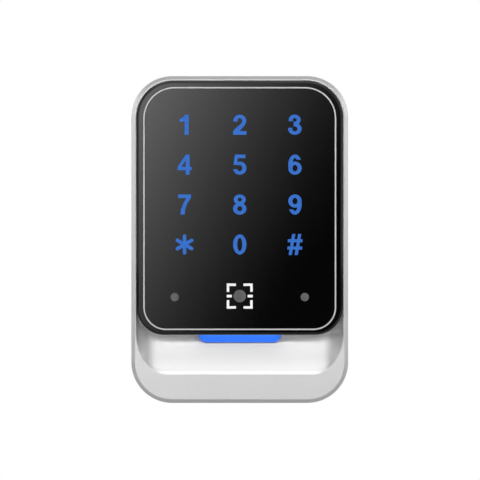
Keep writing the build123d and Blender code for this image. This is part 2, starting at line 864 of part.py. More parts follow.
# ================================================================ screws inside
small_head_r = 1.9
small_head = 1.0
small_shank = 0.95
main_shank = 6.0
pad_shank = 3.0
drive_r = 0.6
drive_deep = 0.6
with BuildPart() as board_screws:
    solid_disc(board_back - small_head, small_head, main_screw_places, small_head_r)
    solid_disc(board_back, main_shank, main_screw_places, small_shank)
    solid_disc(pad_back - small_head, small_head, pad_screw_places, small_head_r)
    solid_disc(pad_back, pad_shank, pad_screw_places, small_shank)
    for drive_depth, drive_places in ((board_back, main_screw_places), (pad_back, pad_screw_places)):
        solid_disc(drive_depth - small_head, drive_deep, drive_places, drive_r, mode=Mode.SUBTRACT)
finish(board_screws.part, "board_screws")

cover_head_r = 2.4
cover_head = 1.2
cover_head_round = 0.4
cover_shank = 9.0
cross_long = 2.6
cross_wide = 0.6
cross_deep = 0.7
with BuildPart() as cover_screws:
    solid_disc(cover_back - cover_head, cover_head, cover_screw_places, cover_head_r)
    fillet(cover_screws.faces().group_by(Axis.Y)[-1].edges(), cover_head_round)
    solid_disc(cover_back, cover_shank, cover_screw_places, small_shank)
    for screw_x, screw_z in cover_screw_places:
        for turn in (0, 90):
            with BuildSketch(front(cover_back - cover_head)):
                with Locations((screw_x, screw_z)):
                    Rectangle(cross_long, cross_wide, rotation=turn)
            extrude(amount=cross_deep, mode=Mode.SUBTRACT)
finish(cover_screws.part, "cover_screws")

# ================================================================ back cover
bay_roof = 1.1
axle_overlap = 0.3
with BuildPart() as back_cover:
    extrude(body_shape(cover_back, -rear_wall - cover_gap), amount=cover_front - cover_back)
    # hook bays with their floor in front of the cover
    for bay_x in (-hook_x, hook_x):
        solid_box(cover_front, bay_floor + bay_wall - cover_front, bay_x - bay_half - bay_wall,
                  bay_x + bay_half + bay_wall, bay_low - bay_wall, bay_high + bay_roof)
        solid_box(cover_back, bay_floor - cover_back, bay_x - bay_half, bay_x + bay_half,
                  bay_low, bay_high, mode=Mode.SUBTRACT)
    # axle bars that the bracket's hooks carry
    for bay_x in (-hook_x, hook_x):
        with BuildSketch(Plane.YZ.offset(bay_x - bay_half - axle_overlap)):
            with Locations((-bar_axis_depth, bar_axis_z)):
                Circle(axle_r)
        extrude(amount=2 * (bay_half + axle_overlap))
    # bay for the bracket's bottom flange, open at the bottom
    solid_box(cover_front, flange_bay_floor + bay_skin - cover_front, -flange_bay_half - bay_skin,
              flange_bay_half + bay_skin, web_high + bay_gap, flange_bay_top + bay_skin)
    solid_box(rear_edge, flange_bay_floor - rear_edge, -flange_bay_half, flange_bay_half,
              -height / 2, flange_bay_top, mode=Mode.SUBTRACT)
    solid_disc(cover_back, cover_front - cover_back, cover_screw_places, screw_clear, mode=Mode.SUBTRACT)
    solid_disc(cover_back, cover_front - cover_back, [(0, cable_z)], grommet_hole, mode=Mode.SUBTRACT)
    solid_disc(cover_back, cover_front - cover_back, plunger_place, plunger_r + plunger_gap,
               mode=Mode.SUBTRACT)
finish(back_cover.part, "back_cover")

seal_outside = 0.25
seal_inside = 0.05
seal_end = 0.3
with BuildPart() as cover_seal:
    extrude(body_shape(cover_front, -rear_wall - seal_outside), amount=seal_shoulder - cover_front)
    extrude(body_shape(cover_front, -inner_wall + seal_inside), amount=through, mode=Mode.SUBTRACT)
    solid_box(cover_front, seal_shoulder - cover_front, -flange_bay_half - bay_skin - seal_end,
              flange_bay_half + bay_skin + seal_end, -height / 2, flange_bay_top, mode=Mode.SUBTRACT)
finish(cover_seal.part, "cover_seal")

# ================================================================ cable
grommet_thick = 1.2
grommet_round = 0.5
grommet_inside = 1.0
grommet_step = 0.4
with BuildPart() as cable_grommet:
    solid_disc(cover_back - grommet_thick, grommet_thick, [(0, cable_z)], grommet_flange)
    fillet(cable_grommet.faces().sort_by(Axis.Y)[-1].edges(), grommet_round)
    solid_disc(cover_back, cover_front - cover_back, [(0, cable_z)], grommet_hole - fit_gap)
    solid_disc(cover_front, grommet_inside, [(0, cable_z)], grommet_flange - grommet_step)
    solid_disc(0, through, [(0, cable_z)], jacket_r + fit_gap, mode=Mode.SUBTRACT)
finish(cable_grommet.part, "cable_grommet")

with BuildPart() as cable_jacket:
    solid_disc(-jacket_tail, jacket_tail + jacket_end, [(0, cable_z)], jacket_r)
finish(cable_jacket.part, "cable_jacket")

plug_half = 3.6
plug_low = 10.6
plug_top = 15.0
plug_back = 11.0
plug_thick = 2.8
wire_bend = 2.0
wire_level = 12.4
core_x = [(index - (core_count - 1) / 2) * core_pitch for index in range(core_count)]
core_ring = 1.5
with BuildPart() as cable_wires:
    for wire_x in core_x:
        with BuildLine(mode=Mode.PRIVATE) as wire_path:
            Line((wire_x, -jacket_end, cable_z), (wire_x, -wire_level + wire_bend, cable_z))
            TangentArc((wire_x, -wire_level + wire_bend, cable_z),
                       (wire_x, -wire_level, cable_z - wire_bend), tangent=(0, -1, 0))
            Line((wire_x, -wire_level, cable_z - wire_bend), (wire_x, -wire_level, plug_top))
        with BuildSketch(front(jacket_end)):
            with Locations((wire_x, cable_z)):
                Circle(core_r)
        sweep(path=wire_path.line)
    for core in range(core_count):
        angle = 2 * pi * core / core_count
        place = (core_ring * cos(angle), cable_z + core_ring * sin(angle))
        solid_disc(-jacket_tail - core_tail, core_tail, [place], core_r)
finish(cable_wires.part, "cable_wires")

with BuildPart() as wire_plug:
    solid_box(plug_back, plug_thick, -plug_half, plug_half, plug_low, plug_top)
finish(wire_plug.part, "wire_plug")

socket_half = 4.6
socket_low = 6.6
socket_front = 14.6
socket_step_top = 14.0
plug_gap = 0.05
with BuildPart() as wire_header:
    solid_box(board_front, socket_front - board_front, -socket_half, socket_half, socket_low, plug_low)
    solid_box(board_front, plug_back - plug_gap - board_front, -socket_half, socket_half, plug_low,
              socket_step_top)
finish(wire_header.part, "wire_header")

# ================================================================ tamper plunger
plunger_tip_gap = 0.02
plunger_round = 0.6
with BuildPart() as tamper_plunger:
    solid_disc(sheet + plunger_tip_gap, collar_back - sheet, plunger_place, plunger_r)
    fillet(tamper_plunger.faces().sort_by(Axis.Y)[-1].edges(), plunger_round)
    solid_disc(collar_back, collar_front - collar_back, plunger_place, collar_r)
    solid_disc(collar_front, tail_end - collar_front, plunger_place, tail_r)
finish(tamper_plunger.part, "tamper_plunger")

coil_clear = 0.01
spring_low = collar_front + spring_wire + coil_clear
spring_high = spring_seat - spring_wire - coil_clear
with BuildPart() as tamper_spring:
    with BuildLine(mode=Mode.PRIVATE) as spring_path:
        Helix(
            pitch=(spring_high - spring_low) / spring_turns,
            height=spring_high - spring_low,
            radius=spring_r,
            center=(plunger_x, -spring_low, plunger_z),
            direction=(0, -1, 0),
        )
    with BuildSketch(Plane(origin=spring_path.edges()[0] @ 0, z_dir=spring_path.edges()[0] % 0)):
        Circle(spring_wire)
    sweep(path=spring_path.line)
finish(tamper_spring.part, "tamper_spring")

# ================================================================ wall bracket
hook_inner = axle_r + hook_gap
hook_outer = hook_inner + sheet
lip_up = 0.5
opening_r = 4.0
light_x = 22.0
light_half = 9.0
light_low = -38.0
light_high = -12.0
light_r = 3.0
hook_root = 2.0
with BuildPart() as wall_bracket:
    solid_box(0, sheet, -bracket_half, bracket_half, bracket_low - sheet, bracket_high, r=bracket_r)
    # cable opening, wall screw slots
    solid_box(0, sheet, -opening_half, opening_half, cable_z - opening_high, cable_z + opening_high,
              r=opening_r, mode=Mode.SUBTRACT)
    with BuildSketch(front(0)):
        with Locations((-wide_pitch / 2, 0), (wide_pitch / 2, 0)):
            SlotOverall(slot_length, 2 * slot_r)
        with Locations((0, -tall_pitch / 2), (0, tall_pitch / 2)):
            SlotOverall(slot_length, 2 * slot_r, rotation=90)
    extrude(amount=sheet, mode=Mode.SUBTRACT)
    # lightening windows beside the middle
    for light_middle in (-light_x, light_x):
        solid_box(0, sheet, light_middle - light_half, light_middle + light_half, light_low, light_high,
                  r=light_r, mode=Mode.SUBTRACT)
    # two hooks rolled up under the reader's axle bars
    hook_end = -bar_axis_depth - hook_outer
    hook_inside = -bar_axis_depth - hook_inner
    for place_x in (-hook_x, hook_x):
        solid_box(0, sheet, place_x - hook_half, place_x + hook_half, bracket_high - hook_root,
                  bar_axis_z - hook_inner)
        with BuildSketch(Plane.YZ.offset(place_x - hook_half)):
            with BuildLine():
                Line((0, bar_axis_z - hook_outer), (-bar_axis_depth, bar_axis_z - hook_outer))
                CenterArc((-bar_axis_depth, bar_axis_z), hook_outer, 180, 90)
                Line((hook_end, bar_axis_z), (hook_end, bar_axis_z + lip_up))
                Line((hook_end, bar_axis_z + lip_up), (hook_inside, bar_axis_z + lip_up))
                Line((hook_inside, bar_axis_z + lip_up), (hook_inside, bar_axis_z))
                CenterArc((-bar_axis_depth, bar_axis_z), hook_inner, 180, 90)
                Line((-bar_axis_depth, bar_axis_z - hook_inner), (0, bar_axis_z - hook_inner))
                Line((0, bar_axis_z - hook_inner), (0, bar_axis_z - hook_outer))
            make_face()
        extrude(amount=2 * hook_half)
    # bottom flange with the tapped hole for the lock screw
    with BuildSketch(Plane.XY.offset(bracket_low - sheet)):
        with Locations((0, -flange_end / 2)):
            Rectangle(2 * flange_half, flange_end)
        with Locations((0, -lock_depth)):
            Circle(lock_r + lock_gap, mode=Mode.SUBTRACT)
    extrude(amount=sheet)
finish(wall_bracket.part, "wall_bracket")

# ================================================================ lock screw
washer_top = web_low - lock_gap
washer_low = washer_top - washer_thick
with BuildPart() as lock_washer:
    with BuildSketch(Plane.XY.offset(washer_low)):
        with Locations((0, -lock_depth)):
            Circle(washer_r)
            Circle(lock_r + lock_gap, mode=Mode.SUBTRACT)
    extrude(amount=washer_thick)
finish(lock_washer.part, "lock_washer")

head_gap = 0.01
head_round = 0.4
tip_chamfer = 0.3
head_top = washer_low - head_gap
with BuildPart() as lock_screw:
    with BuildSketch(Plane.XY.offset(head_top - head_high)):
        with Locations((0, -lock_depth)):
            Circle(head_r)
    extrude(amount=head_high)
    fillet(lock_screw.faces().sort_by(Axis.Z)[0].edges(), head_round)
    with BuildSketch(Plane.XY.offset(head_top)):
        with Locations((0, -lock_depth)):
            Circle(lock_r)
    extrude(amount=lock_top - head_top)
    chamfer(lock_screw.faces().sort_by(Axis.Z)[-1].edges(), tip_chamfer)
    with BuildSketch(Plane.XY.offset(head_top - head_high)):
        with Locations((0, -lock_depth)):
            RegularPolygon(socket_r, 6)
    extrude(amount=socket_deep, mode=Mode.SUBTRACT)
finish(lock_screw.part, "lock_screw")
print(len(finished), "pieces written")
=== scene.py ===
import json
import math

import bpy
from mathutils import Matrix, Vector


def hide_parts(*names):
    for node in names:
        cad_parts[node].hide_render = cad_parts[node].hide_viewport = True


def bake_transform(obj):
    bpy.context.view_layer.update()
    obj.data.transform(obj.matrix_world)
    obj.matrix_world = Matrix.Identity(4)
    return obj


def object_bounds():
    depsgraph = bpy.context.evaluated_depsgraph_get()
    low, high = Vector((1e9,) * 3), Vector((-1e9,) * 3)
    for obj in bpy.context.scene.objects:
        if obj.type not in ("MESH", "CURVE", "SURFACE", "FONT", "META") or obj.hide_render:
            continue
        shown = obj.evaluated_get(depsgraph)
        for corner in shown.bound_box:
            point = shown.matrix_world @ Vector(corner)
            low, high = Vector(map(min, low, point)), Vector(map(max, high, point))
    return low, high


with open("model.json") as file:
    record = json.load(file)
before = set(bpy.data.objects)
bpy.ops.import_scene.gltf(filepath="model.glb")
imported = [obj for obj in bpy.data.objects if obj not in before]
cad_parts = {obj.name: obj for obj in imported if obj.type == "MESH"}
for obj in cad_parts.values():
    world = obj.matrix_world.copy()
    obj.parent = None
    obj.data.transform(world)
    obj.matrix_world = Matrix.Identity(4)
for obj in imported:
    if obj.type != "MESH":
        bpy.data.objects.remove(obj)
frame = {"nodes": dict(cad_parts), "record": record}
nodes = frame["nodes"]
CAD_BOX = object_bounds()

MM = 0.001
rest_low, rest_high = CAD_BOX
WHITE = (1, 1, 1, 1)


# ------------------------------------------------------------------ colour helpers
def from_screen(*levels):
    """Linear colour of a 0-255 screen colour."""
    out = []
    for level in levels:
        c = level / 255
        out.append(c / 12.92 if c <= 0.04045 else ((c + 0.055) / 1.055) ** 2.4)
    return (*out, 1.0)


def grey(level):
    return from_screen(level, level, level)


# ------------------------------------------------------------------ material helpers
class Look:
    """A node material put together step by step."""

    def __init__(self, name):
        self.material = bpy.data.materials.new(name)
        self.material.use_nodes = True
        self.tree = self.material.node_tree
        self.tree.nodes.clear()
        self.out = self.tree.nodes.new("ShaderNodeOutputMaterial")
        self.coords = self.tree.nodes.new("ShaderNodeTexCoord").outputs["Object"]

    def node(self, kind, **values):
        made = self.tree.nodes.new(kind)
        for key, value in values.items():
            if key in made.inputs:
                made.inputs[key].default_value = value
            else:
                setattr(made, key, value)
        return made

    def link(self, a, b):
        self.tree.links.new(a, b)

    def noise(self, scale, detail=3.0, rough=0.55, stretch=None):
        tex = self.node("ShaderNodeTexNoise", Scale=scale, Detail=detail, Roughness=rough)
        if stretch:
            mapping = self.node("ShaderNodeMapping")
            mapping.inputs["Scale"].default_value = stretch
            self.link(self.coords, mapping.inputs["Vector"])
            self.link(mapping.outputs["Vector"], tex.inputs["Vector"])
        else:
            self.link(self.coords, tex.inputs["Vector"])
        return tex.outputs["Fac"]

    def remap(self, value, low, high, to_low, to_high):
        r = self.node("ShaderNodeMapRange")
        for key, v in (("From Min", low), ("From Max", high), ("To Min", to_low), ("To Max", to_high)):
            r.inputs[key].default_value = v
        self.link(value, r.inputs["Value"])
        return r.outputs["Result"]

    def mix(self, factor, a, b):
        m = self.node("ShaderNodeMix", data_type="RGBA")
        if isinstance(factor, (int, float)):
            m.inputs[0].default_value = factor
        else:
            self.link(factor, m.inputs[0])
        for socket, colour in ((m.inputs[6], a), (m.inputs[7], b)):
            if isinstance(colour, tuple):
                socket.default_value = colour
            else:
                self.link(colour, socket)
        return m.outputs[2]

    def math(self, operation, a, b=0.0):
        m = self.node("ShaderNodeMath", operation=operation)
        for socket, value in ((m.inputs[0], a), (m.inputs[1], b)):
            if isinstance(value, (int, float)):
                socket.default_value = value
            else:
                self.link(value, socket)
        return m.outputs[0]

    def soft_step(self, value, low, high, size=1.0):
        """Rises smoothly from nothing to a size between two levels."""
        ramp = self.node("ShaderNodeMapRange", interpolation_type="SMOOTHSTEP")
        for key, v in (("From Min", low), ("From Max", high), ("To Min", 0.0), ("To Max", size)):
            ramp.inputs[key].default_value = v
        self.link(value, ramp.inputs["Value"])
        return ramp.outputs["Result"]

    def axis(self, letter):
        sep = self.node("ShaderNodeSeparateXYZ")
        self.link(self.coords, sep.inputs[0])
        return sep.outputs[letter]

    def edge_normal(self, radius):
        bevel = self.node("ShaderNodeBevel", samples=4, Radius=radius)
        return bevel.outputs["Normal"]

    def bump(self, height, strength, distance, normal=None):
        b = self.node("ShaderNodeBump", Strength=strength, Distance=distance)
        self.link(height, b.inputs["Height"])
        if normal is not None:
            self.link(normal, b.inputs["Normal"])
        return b.outputs["Normal"]

    def principled(self, colour, rough, metal=0.0, normal=None, specular=0.5, coat=0.0, coat_rough=0.05,
                   emission=None, emission_strength=0.0):
        p = self.node("ShaderNodeBsdfPrincipled")
        for key, value in (("Base Color", colour), ("Roughness", rough), ("Metallic", metal),
                           ("Normal", normal), ("Specular IOR Level", specular), ("Coat Weight", coat),
                           ("Coat Roughness", coat_rough), ("Emission Color", emission),
                           ("Emission Strength", emission_strength)):
            if value is None:
                continue
            if isinstance(value, (int, float, tuple)):
                p.inputs[key].default_value = value
            else:
                self.link(value, p.inputs[key])
        self.link(p.outputs["BSDF"], self.out.inputs["Surface"])
        return p


def solid_look(name, colour, rough, metal=0.0, grain=2600, grain_depth=0.006, mottle=0.06, edge=0.15,
               specular=0.5, coat=0.0, streak=None, rough_swing=0.08):
    """Plain moulded, painted or sheet material: mottled colour, uneven roughness, grain, soft edges."""
    look = Look(name)
    cloud = look.noise(90, 4)
    fine = look.noise(grain, 2, 0.6, streak)
    dark = tuple(c * (1 - mottle) for c in colour[:3]) + (1.0,)
    light = tuple(min(1.0, c * (1 + mottle)) for c in colour[:3]) + (1.0,)
    tint = look.mix(look.remap(cloud, 0.3, 0.7, 0, 1), dark, light)
    roughness = look.remap(fine, 0.25, 0.75, max(0.02, rough - rough_swing), min(1.0, rough + rough_swing))
    normal = look.bump(fine, 1.0, grain_depth * MM, look.edge_normal(edge * MM) if edge else None)
    look.principled(tint, roughness, metal, normal, specular, coat)
    return look.material


# ------------------------------------------------------------------ materials
# where the painted light and painted shade in the scoop begin and are full, as (nothing, all of it)
FLOOR_HALF = (36.5 * MM, 32.0 * MM)
SCOOP_TOP = (-30.0 * MM, -37.0 * MM)
SCOOP_END = (-53.0 * MM, -52.5 * MM)
BEHIND_FACE = (-22.0 * MM, -21.2 * MM)
INSIDE_RIM = (40.5 * MM, 40.2 * MM)
WALL_SHADE_FADE = (-39.0 * MM, -48.0 * MM)


def silver_paint_and_painted_light():
    """Silver-grey paint with fine flake, with painted light and shade in the scoop. By position, the
    scoop's floor is painted whiter and less metallic as painted light, and its walls go from darker at the
    top to lighter at the bottom as painted shade under the panel."""
    look = Look("silver_paint_and_painted_light")
    flake = look.noise(9000, 1, 0.5)
    cloud = look.noise(60, 3)
    orange_peel = look.noise(700, 2, 0.5)
    tint = look.mix(look.remap(flake, 0.3, 0.7, 0, 1), grey(224), grey(234))
    tint = look.mix(look.remap(cloud, 0.3, 0.7, 0, 0.4), tint, grey(224))
    across = look.math("ABSOLUTE", look.axis("X"))
    in_width = look.soft_step(across, *FLOOR_HALF)
    in_height = look.soft_step(look.axis("Z"), *SCOOP_TOP)
    in_height = look.math("MULTIPLY", in_height, look.soft_step(look.axis("Z"), *SCOOP_END))
    behind_face = look.soft_step(look.axis("Y"), *BEHIND_FACE)
    behind_face = look.math("MULTIPLY", behind_face, look.soft_step(across, *INSIDE_RIM))
    # painted light on the scoop's floor and painted shade on its walls, placed by position
    painted_floor_light = look.math("MULTIPLY", look.math("MULTIPLY", in_width, in_height), behind_face)
    in_scoop = look.math("MULTIPLY", in_height, behind_face)
    painted_wall_shade = look.math("SUBTRACT", in_scoop, painted_floor_light)
    wall_shade_lifts = look.soft_step(look.axis("Z"), *WALL_SHADE_FADE)
    # painted shade: the scoop's walls are darker at the top and lighter lower down
    tint = look.mix(painted_wall_shade, tint, look.mix(wall_shade_lifts, grey(202), grey(232)))
    # painted light: the scoop's floor is painted whiter, and below it is made less metallic
    tint = look.mix(painted_floor_light, tint, grey(240))
    metal = look.remap(painted_floor_light, 0, 1, 0.6, 0.08)
    rough = look.remap(orange_peel, 0.3, 0.7, 0.28, 0.34)
    grain = look.bump(flake, 0.25, 0.004 * MM, look.edge_normal(0.5 * MM))
    normal = look.bump(orange_peel, 0.25, 0.004 * MM, grain)
    look.principled(tint, rough, metal, normal, 0.5)
    return look.material


def black_gloss(name, level, rough, edge):
    """Polished black plastic or black-backed glass with faint haze and wipe marks."""
    look = Look(name)
    haze = look.noise(45, 4, 0.6)
    wipe = look.noise(220, 3, 0.6, (1.0, 1.0, 0.25))
    tint = look.mix(look.remap(haze, 0.3, 0.7, 0, 1), grey(level), grey(level + 3))
    roughness = look.remap(wipe, 0.3, 0.8, rough, rough + 0.03)
    waves = look.noise(14, 1)
    normal = look.bump(waves, 0.05, 0.02 * MM, look.edge_normal(edge * MM))
    look.principled(tint, roughness, 0.0, normal, 0.5)
    return look.material


def lit_legend():
    """Translucent print, brighter where the light behind it is."""
    look = Look("lit_legend")
    cloud = look.noise(500, 3)
    glow = look.mix(look.remap(cloud, 0.3, 0.7, 0, 1), from_screen(40, 96, 178), from_screen(50, 106, 188))
    rough = look.remap(look.noise(2500), 0.3, 0.7, 0.35, 0.5)
    look.principled(from_screen(20, 45, 90), rough, 0.0, None, 0.2, 0, 0.05, glow, 0.95)
    return look.material


BAR_LOW = -39.95 * MM
BAR_GLOW = -36.8 * MM
BAR_END = 16.15 * MM
BAR_END_DIM = 12.5 * MM


def lit_bar():
    """Frosted light guide, lit from above, a little darker at its ends."""
    look = Look("lit_bar")
    up = look.remap(look.axis("Z"), BAR_LOW, BAR_GLOW, 0, 1)
    lift = look.math("POWER", up, 4.0)
    body = look.mix(lift, from_screen(48, 121, 255), from_screen(66, 148, 255))
    out = look.math("ABSOLUTE", look.axis("X"))
    ends = look.math("POWER", look.remap(out, BAR_END_DIM, BAR_END, 0, 1), 2.0)
    body = look.mix(look.math("MULTIPLY", ends, 0.8), body, from_screen(41, 101, 210))
    speck = look.remap(look.noise(3000), 0.3, 0.7, 0.96, 1.0)
    rough = look.remap(look.noise(1500), 0.3, 0.7, 0.3, 0.45)
    normal = look.bump(look.noise(2500), 0.4, 0.01 * MM, look.edge_normal(0.25 * MM))
    seen = look.node("ShaderNodeLightPath").outputs["Is Camera Ray"]
    strength = look.math("MULTIPLY", speck, look.remap(seen, 0, 1, 0.05, 0.93))
    look.principled(from_screen(10, 40, 120), rough, 0.0, normal, 0.3, 0, 0.05, body, strength)
    return look.material


def white_print_and_painted_glow():
    look = Look("white_print_and_painted_glow")
    tint = look.mix(look.remap(look.noise(900), 0.3, 0.7, 0, 1), grey(206), grey(220))
    rough = look.remap(look.noise(3000), 0.3, 0.7, 0.4, 0.55)
    normal = look.bump(look.noise(6000), 0.2, 0.002 * MM)
    # painted glow: the print shines with its own colour at a quarter strength, though it is no lamp
    look.principled(tint, rough, 0.0, normal, 0.2, 0, 0.05, tint, 0.25)
    return look.material


def smoked_window():
    look = Look("smoked_window")
    tint = look.mix(look.remap(look.noise(400), 0.3, 0.7, 0, 1), grey(86), grey(96))
    rough = look.remap(look.noise(900), 0.3, 0.7, 0.25, 0.4)
    look.principled(tint, rough, 0.0, look.bump(look.noise(900), 0.2, 0.003 * MM), 0.1)
    return look.material


def board_mask():
    """Green solder mask with faint tracks showing through."""
    look = Look("board_mask")
    tracks = look.node("ShaderNodeTexBrick", Scale=180.0)
    tracks.inputs["Mortar Size"].default_value = 0.09
    turned = look.node("ShaderNodeMapping")
    turned.inputs["Rotation"].default_value = (math.radians(90), 0, 0)
    look.link(look.coords, turned.inputs["Vector"])
    look.link(turned.outputs["Vector"], tracks.inputs["Vector"])
    line = look.remap(tracks.outputs["Fac"], 0, 1, 0, 0.6)
    base = look.mix(look.remap(look.noise(120), 0.3, 0.7, 0, 1),
                    (0.006, 0.075, 0.03, 1), (0.009, 0.1, 0.04, 1))
    tint = look.mix(line, base, (0.015, 0.16, 0.06, 1))
    normal = look.bump(tracks.outputs["Fac"], 0.3, 0.03 * MM, look.edge_normal(0.1 * MM))
    look.principled(tint, look.remap(look.noise(600), 0.3, 0.7, 0.25, 0.4), 0.0, normal)
    return look.material


THREAD_PITCH = 0.5 * MM
SHANK_LOW = -61.6 * MM
WAVE_UNIT = 20  # the wave node takes the sine of this many times the scaled place


def threaded_steel():
    """Zinc-plated steel with rings along its axis; they stand in for the thread and are bump only."""
    look = Look("threaded_steel")
    wave = look.node("ShaderNodeTexWave", wave_type="BANDS", bands_direction="Z", wave_profile="SIN")
    wave.inputs["Scale"].default_value = 2 * math.pi / THREAD_PITCH / WAVE_UNIT
    look.link(look.coords, wave.inputs["Vector"])
    in_shank = look.math("GREATER_THAN", look.axis("Z"), SHANK_LOW)
    rings = look.math("MULTIPLY", wave.outputs["Fac"], in_shank)
    normal = look.bump(rings, 1.0, 0.12 * MM, look.edge_normal(0.15 * MM))
    scuff = look.noise(1600, 3)
    tint = look.mix(look.remap(scuff, 0.3, 0.7, 0, 1), grey(150), grey(182))
    look.principled(tint, look.remap(scuff, 0.3, 0.7, 0.22, 0.4), 1.0, normal)
    return look.material


looks = {
    "housing_silver": silver_paint_and_painted_light(),
    "panel_black": black_gloss("panel_black", 3, 0.03, 0.2),
    "glass_black": black_gloss("glass_black", 4, 0.03, 0.1),
    "ring_silver": solid_look("ring_silver", grey(196), 0.4, 0.3, 3200, 0.002, 0.03, 0.1),
    "legend_blue": lit_legend(),
    "mark_white": white_print_and_painted_glow(),
    "window_grey": smoked_window(),
    "bar_blue": lit_bar(),
    "tape_black": solid_look("tape_black", grey(38), 0.9, 0.0, 1500, 0.03, 0.15, 0.0),
    "film_white": solid_look("film_white", grey(226), 0.6, 0.0, 2500, 0.004, 0.03, 0.0),
    "shroud_white": solid_look("shroud_white", grey(222), 0.55, 0.0, 1800, 0.008, 0.04, 0.2),
    "spring_steel": solid_look("spring_steel", grey(190), 0.25, 1.0, 3000, 0.004, 0.1, 0.0),
    "led_cream": solid_look("led_cream", from_screen(236, 226, 180), 0.4, 0.0, 2400, 0.006, 0.06, 0.1),
    "board_green": board_mask(),
    "chip_black": solid_look("chip_black", grey(34), 0.6, 0.0, 3500, 0.01, 0.15, 0.15),
    "lens_glass": solid_look("lens_glass", from_screen(30, 24, 58), 0.05, 0.0, 500, 0.001, 0.2, 0.1,
                             0.8, 1.0),
    "coil_copper": solid_look("coil_copper", from_screen(196, 118, 70), 0.3, 1.0, 3000, 0.004, 0.1, 0.0),
    "carrier_amber": solid_look("carrier_amber", from_screen(186, 140, 62), 0.5, 0.0, 900, 0.006, 0.1, 0.1),
    "can_metal": solid_look("can_metal", grey(196), 0.28, 1.0, 2400, 0.004, 0.06, 0.15),
    "header_white": solid_look("header_white", from_screen(228, 222, 206), 0.5, 0.0, 2200, 0.008, 0.05,
                               0.15),
    "screw_steel": threaded_steel(),
    "cover_grey": solid_look("cover_grey", grey(52), 0.6, 0.0, 2800, 0.02, 0.1, 0.3),
    "seal_rubber": solid_look("seal_rubber", grey(40), 0.8, 0.0, 1600, 0.02, 0.15, 0.2),
    "jacket_black": solid_look("jacket_black", grey(42), 0.55, 0.0, 1800, 0.015, 0.12, 0.0),
    "core_red": solid_look("core_red", from_screen(176, 40, 34), 0.4, 0.0, 2600, 0.006, 0.1, 0.0),
    "plunger_white": solid_look("plunger_white", from_screen(228, 224, 212), 0.4, 0.0, 2400, 0.006, 0.05,
                                0.2),
    "bracket_steel": solid_look("bracket_steel", grey(176), 0.38, 1.0, 900, 0.012, 0.12, 0.2,
                                streak=(1.0, 1.0, 0.08), rough_swing=0.12),
}

for part in frame["record"]["subparts"]:
    piece = nodes[part["node"]]
    piece.data.materials.clear()
    piece.data.materials.append(looks[part["material_slot"]])

# ------------------------------------------------------------------ cable
CABLE_Z = 23.5 * MM
SLEEVE_R = 2.6 * MM
SLEEVE_START = -6.6 * MM
SLEEVE_END = 38.0 * MM
SAG = 5.0 * MM
CORE_R = 0.38 * MM
CORE_PITCH = 0.8 * MM
CORE_RING = 1.45 * MM
PLUG_TOP = 15.0 * MM
WIRE_LEVEL = 12.4 * MM
WIRE_BEND = 2.0 * MM
CORE_END = 51.0 * MM
TIP_LONG = 3.0 * MM
TIP_STEPS = 4
TIP_SHARE = 0.62
BEND_STEPS = 8
CORE_STEPS = 14
FAN_OUT = 1.6
FAN_DROOP = 0.9
FAN_WANDER = 0.6 * MM


def sag_at(y):
    """How far the cable has drooped at a distance behind the wall."""
    share = max(0.0, y) / SLEEVE_END
    return -SAG * share * share


def tube(name, paths, radius, look, sides):
    """Round tubes along lists of points, closed at both ends, as one mesh."""
    verts, faces = [], []
    for points in paths:
        points = [Vector(p) for p in points]
        rings = []
        side = Vector((1, 0, 0))
        for i, p in enumerate(points):
            ahead = points[min(i + 1, len(points) - 1)] - points[max(i - 1, 0)]
            ahead.normalize()
            up = ahead.cross(side).normalized()
            across = up.cross(ahead).normalized()
            first = len(verts)
            for k in range(sides):
                a = 2 * math.pi * k / sides
                verts.append(p + (across * math.cos(a) + up * math.sin(a)) * radius)
            rings.append(first)
        for a, b in zip(rings, rings[1:]):
            for k in range(sides):
                n = (k + 1) % sides
                faces.append((a + k, a + n, b + n, b + k))
        faces.append(tuple(rings[0] + k for k in reversed(range(sides))))
        faces.append(tuple(rings[-1] + k for k in range(sides)))
    mesh = bpy.data.meshes.new(name)
    mesh.from_pydata([tuple(v) for v in verts], [], faces)
    mesh.validate()
    for polygon in mesh.polygons:
        polygon.use_smooth = len(polygon.vertices) == 4
    mesh.materials.append(look)
    obj = bpy.data.objects.new(name, mesh)
    bpy.context.scene.collection.objects.link(obj)
    return obj


def follow_cable(piece, node):
    """Bakes the piece's placement into its mesh and hides the CAD piece it stands in for."""
    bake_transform(piece)
    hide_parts(node)


sleeve_points = []
SLEEVE_STEPS = 60
for step in range(SLEEVE_STEPS + 1):
    y = SLEEVE_START + (SLEEVE_END - SLEEVE_START) * step / SLEEVE_STEPS
    sleeve_points.append((0, y, CABLE_Z + sag_at(y)))
sleeve = tube("cable_sleeve", [sleeve_points], SLEEVE_R, looks["jacket_black"], 40)
follow_cable(sleeve, "cable_jacket")

